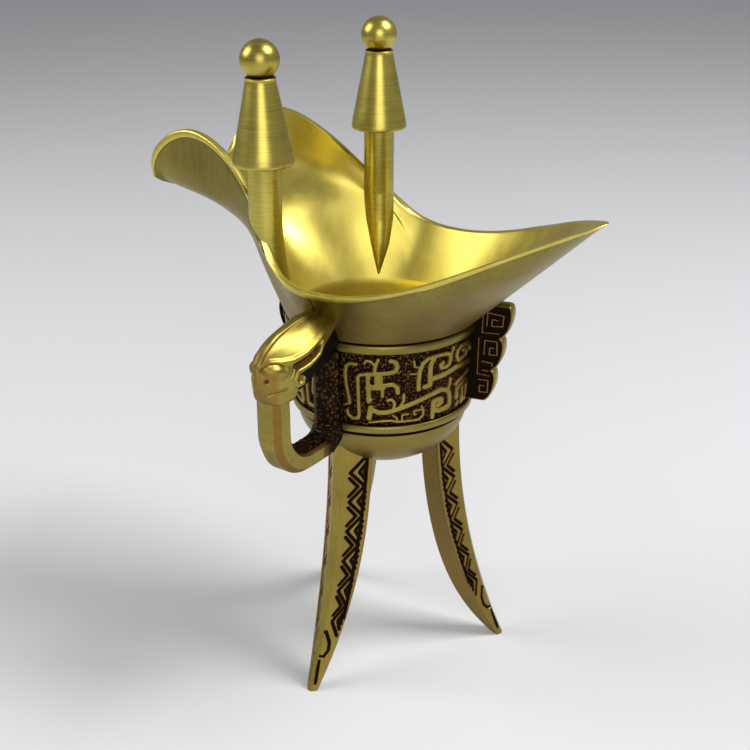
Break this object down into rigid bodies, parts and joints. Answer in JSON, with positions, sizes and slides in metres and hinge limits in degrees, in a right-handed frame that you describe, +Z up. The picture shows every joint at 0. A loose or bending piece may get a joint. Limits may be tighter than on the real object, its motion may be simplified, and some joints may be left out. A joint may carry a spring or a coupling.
{
  "type": "bronze jue vessel",
  "caption": "Small cast-brass jue cup with a raised spout, pointed tail, capped posts, beast-head handle and curved blade legs.",
  "frame": {"origin": "middle of the footprint's bounding box on the table, under the cup", "axes": "+Z up, +X towards the pointed tail, -X towards the spout, -Y towards the handle"},
  "size_m": [0.108, 0.0753, 0.15],
  "materials": {
    "brass": "brushed",
    "patina": "matte"
  },
  "bodies": {
    "root": {"body_tail_half": "brass", "body_spout_half": "brass", "leg_front": "brass", "leg_tail": "brass", "leg_spout": "brass", "handle": "brass", "flange_tail": "brass", "flange_spout": "brass", "post_stem_near": "brass", "post_cap_near": "brass", "post_stem_far": "brass", "post_cap_far": "brass"}
  },
  "joints": []
}
